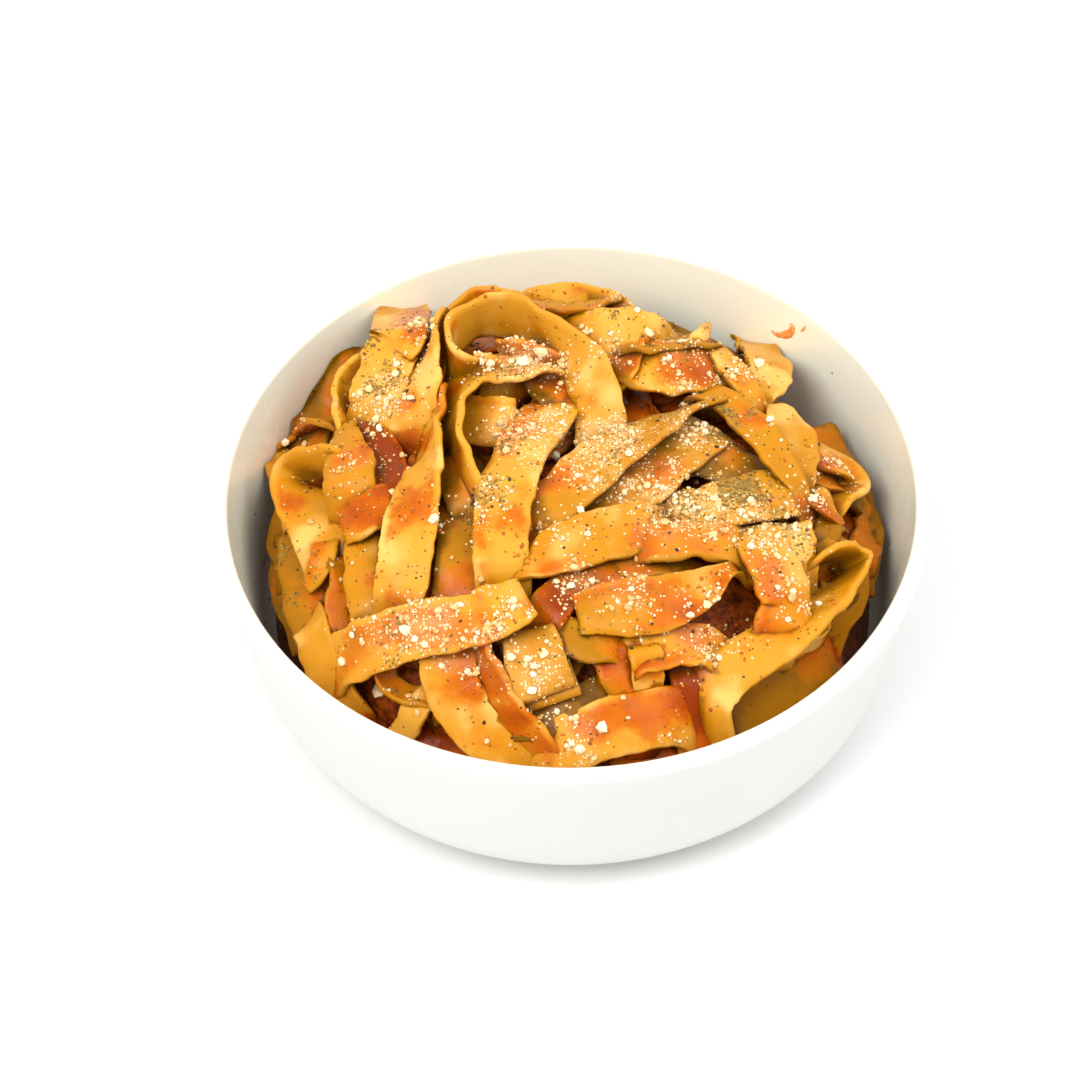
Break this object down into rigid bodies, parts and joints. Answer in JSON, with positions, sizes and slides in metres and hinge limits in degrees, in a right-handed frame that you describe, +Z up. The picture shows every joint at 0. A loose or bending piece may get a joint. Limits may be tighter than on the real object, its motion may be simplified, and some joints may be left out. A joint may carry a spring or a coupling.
{
  "type": "bowl of fettuccine",
  "caption": "Low round stoneware bowl heaped with flat ribbon pasta in tomato sauce, sprinkled with grated cheese, pepper and herbs.",
  "frame": {"origin": "centre of the bowl's foot, on the surface it stands on", "axes": "+Z up, out of the bowl; -Y towards the diner, the side seen in front; +X to the diner's right"},
  "size_m": [0.1496, 0.1496, 0.0663],
  "materials": {
    "glaze": "glossy cream-white glaze inside, satin white outside",
    "pasta": "cooked pasta with a thin glossy coat of tomato sauce"
  },
  "bodies": {
    "root": {"bowl": "glaze", "fettuccine_heap": "pasta"}
  },
  "joints": []
}
